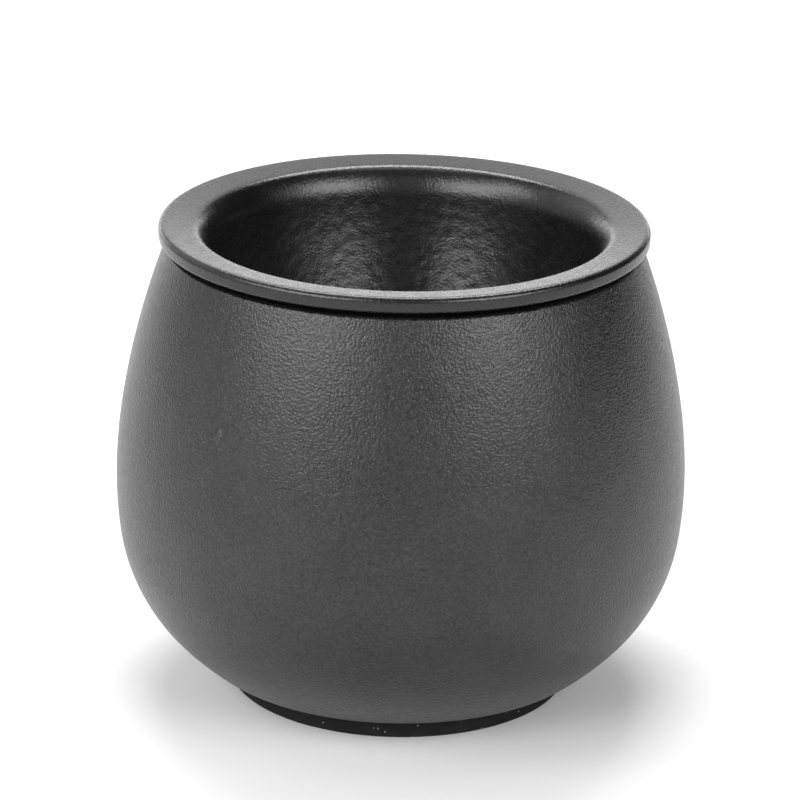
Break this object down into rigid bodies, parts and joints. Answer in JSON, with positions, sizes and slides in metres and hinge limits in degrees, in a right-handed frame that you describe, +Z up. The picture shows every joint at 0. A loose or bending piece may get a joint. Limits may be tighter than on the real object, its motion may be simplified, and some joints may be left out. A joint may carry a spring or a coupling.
{
  "type": "candle jar",
  "caption": "Empty bulb-shaped candle jar: a metal shell on a rubber foot, with a flanged drop-in metal cup hanging in its neck on a soft seal.",
  "frame": {"origin": "centre of the base pad's underside, on the jar's axis", "axes": "+Z up along the jar's axis, from the foot to the mouth; X and Y are equivalent"},
  "size_m": [0.1, 0.1, 0.084],
  "materials": {
    "shell_coat": "matte",
    "cup_coat": "satin",
    "seal_rubber": "matte",
    "pad_rubber": "matte",
    "adhesive": "matte"
  },
  "bodies": {
    "shell": {"outer_shell": "shell_coat", "base_pad": "pad_rubber", "pad_adhesive": "adhesive"},
    "seal": {"neck_seal": "seal_rubber"},
    "cup": {"liner_cup": "cup_coat"}
  },
  "joints": [
    {"name": "cup_lift", "type": "slide", "parent": "shell", "child": "seal", "axis": [0, 0, 1], "range_m": [0, 0.075]},
    {"name": "cup_turn", "type": "hinge", "parent": "seal", "child": "cup", "pos_m": [0, 0, 0.084], "axis": [0, 0, 1], "continuous": true}
  ]
}
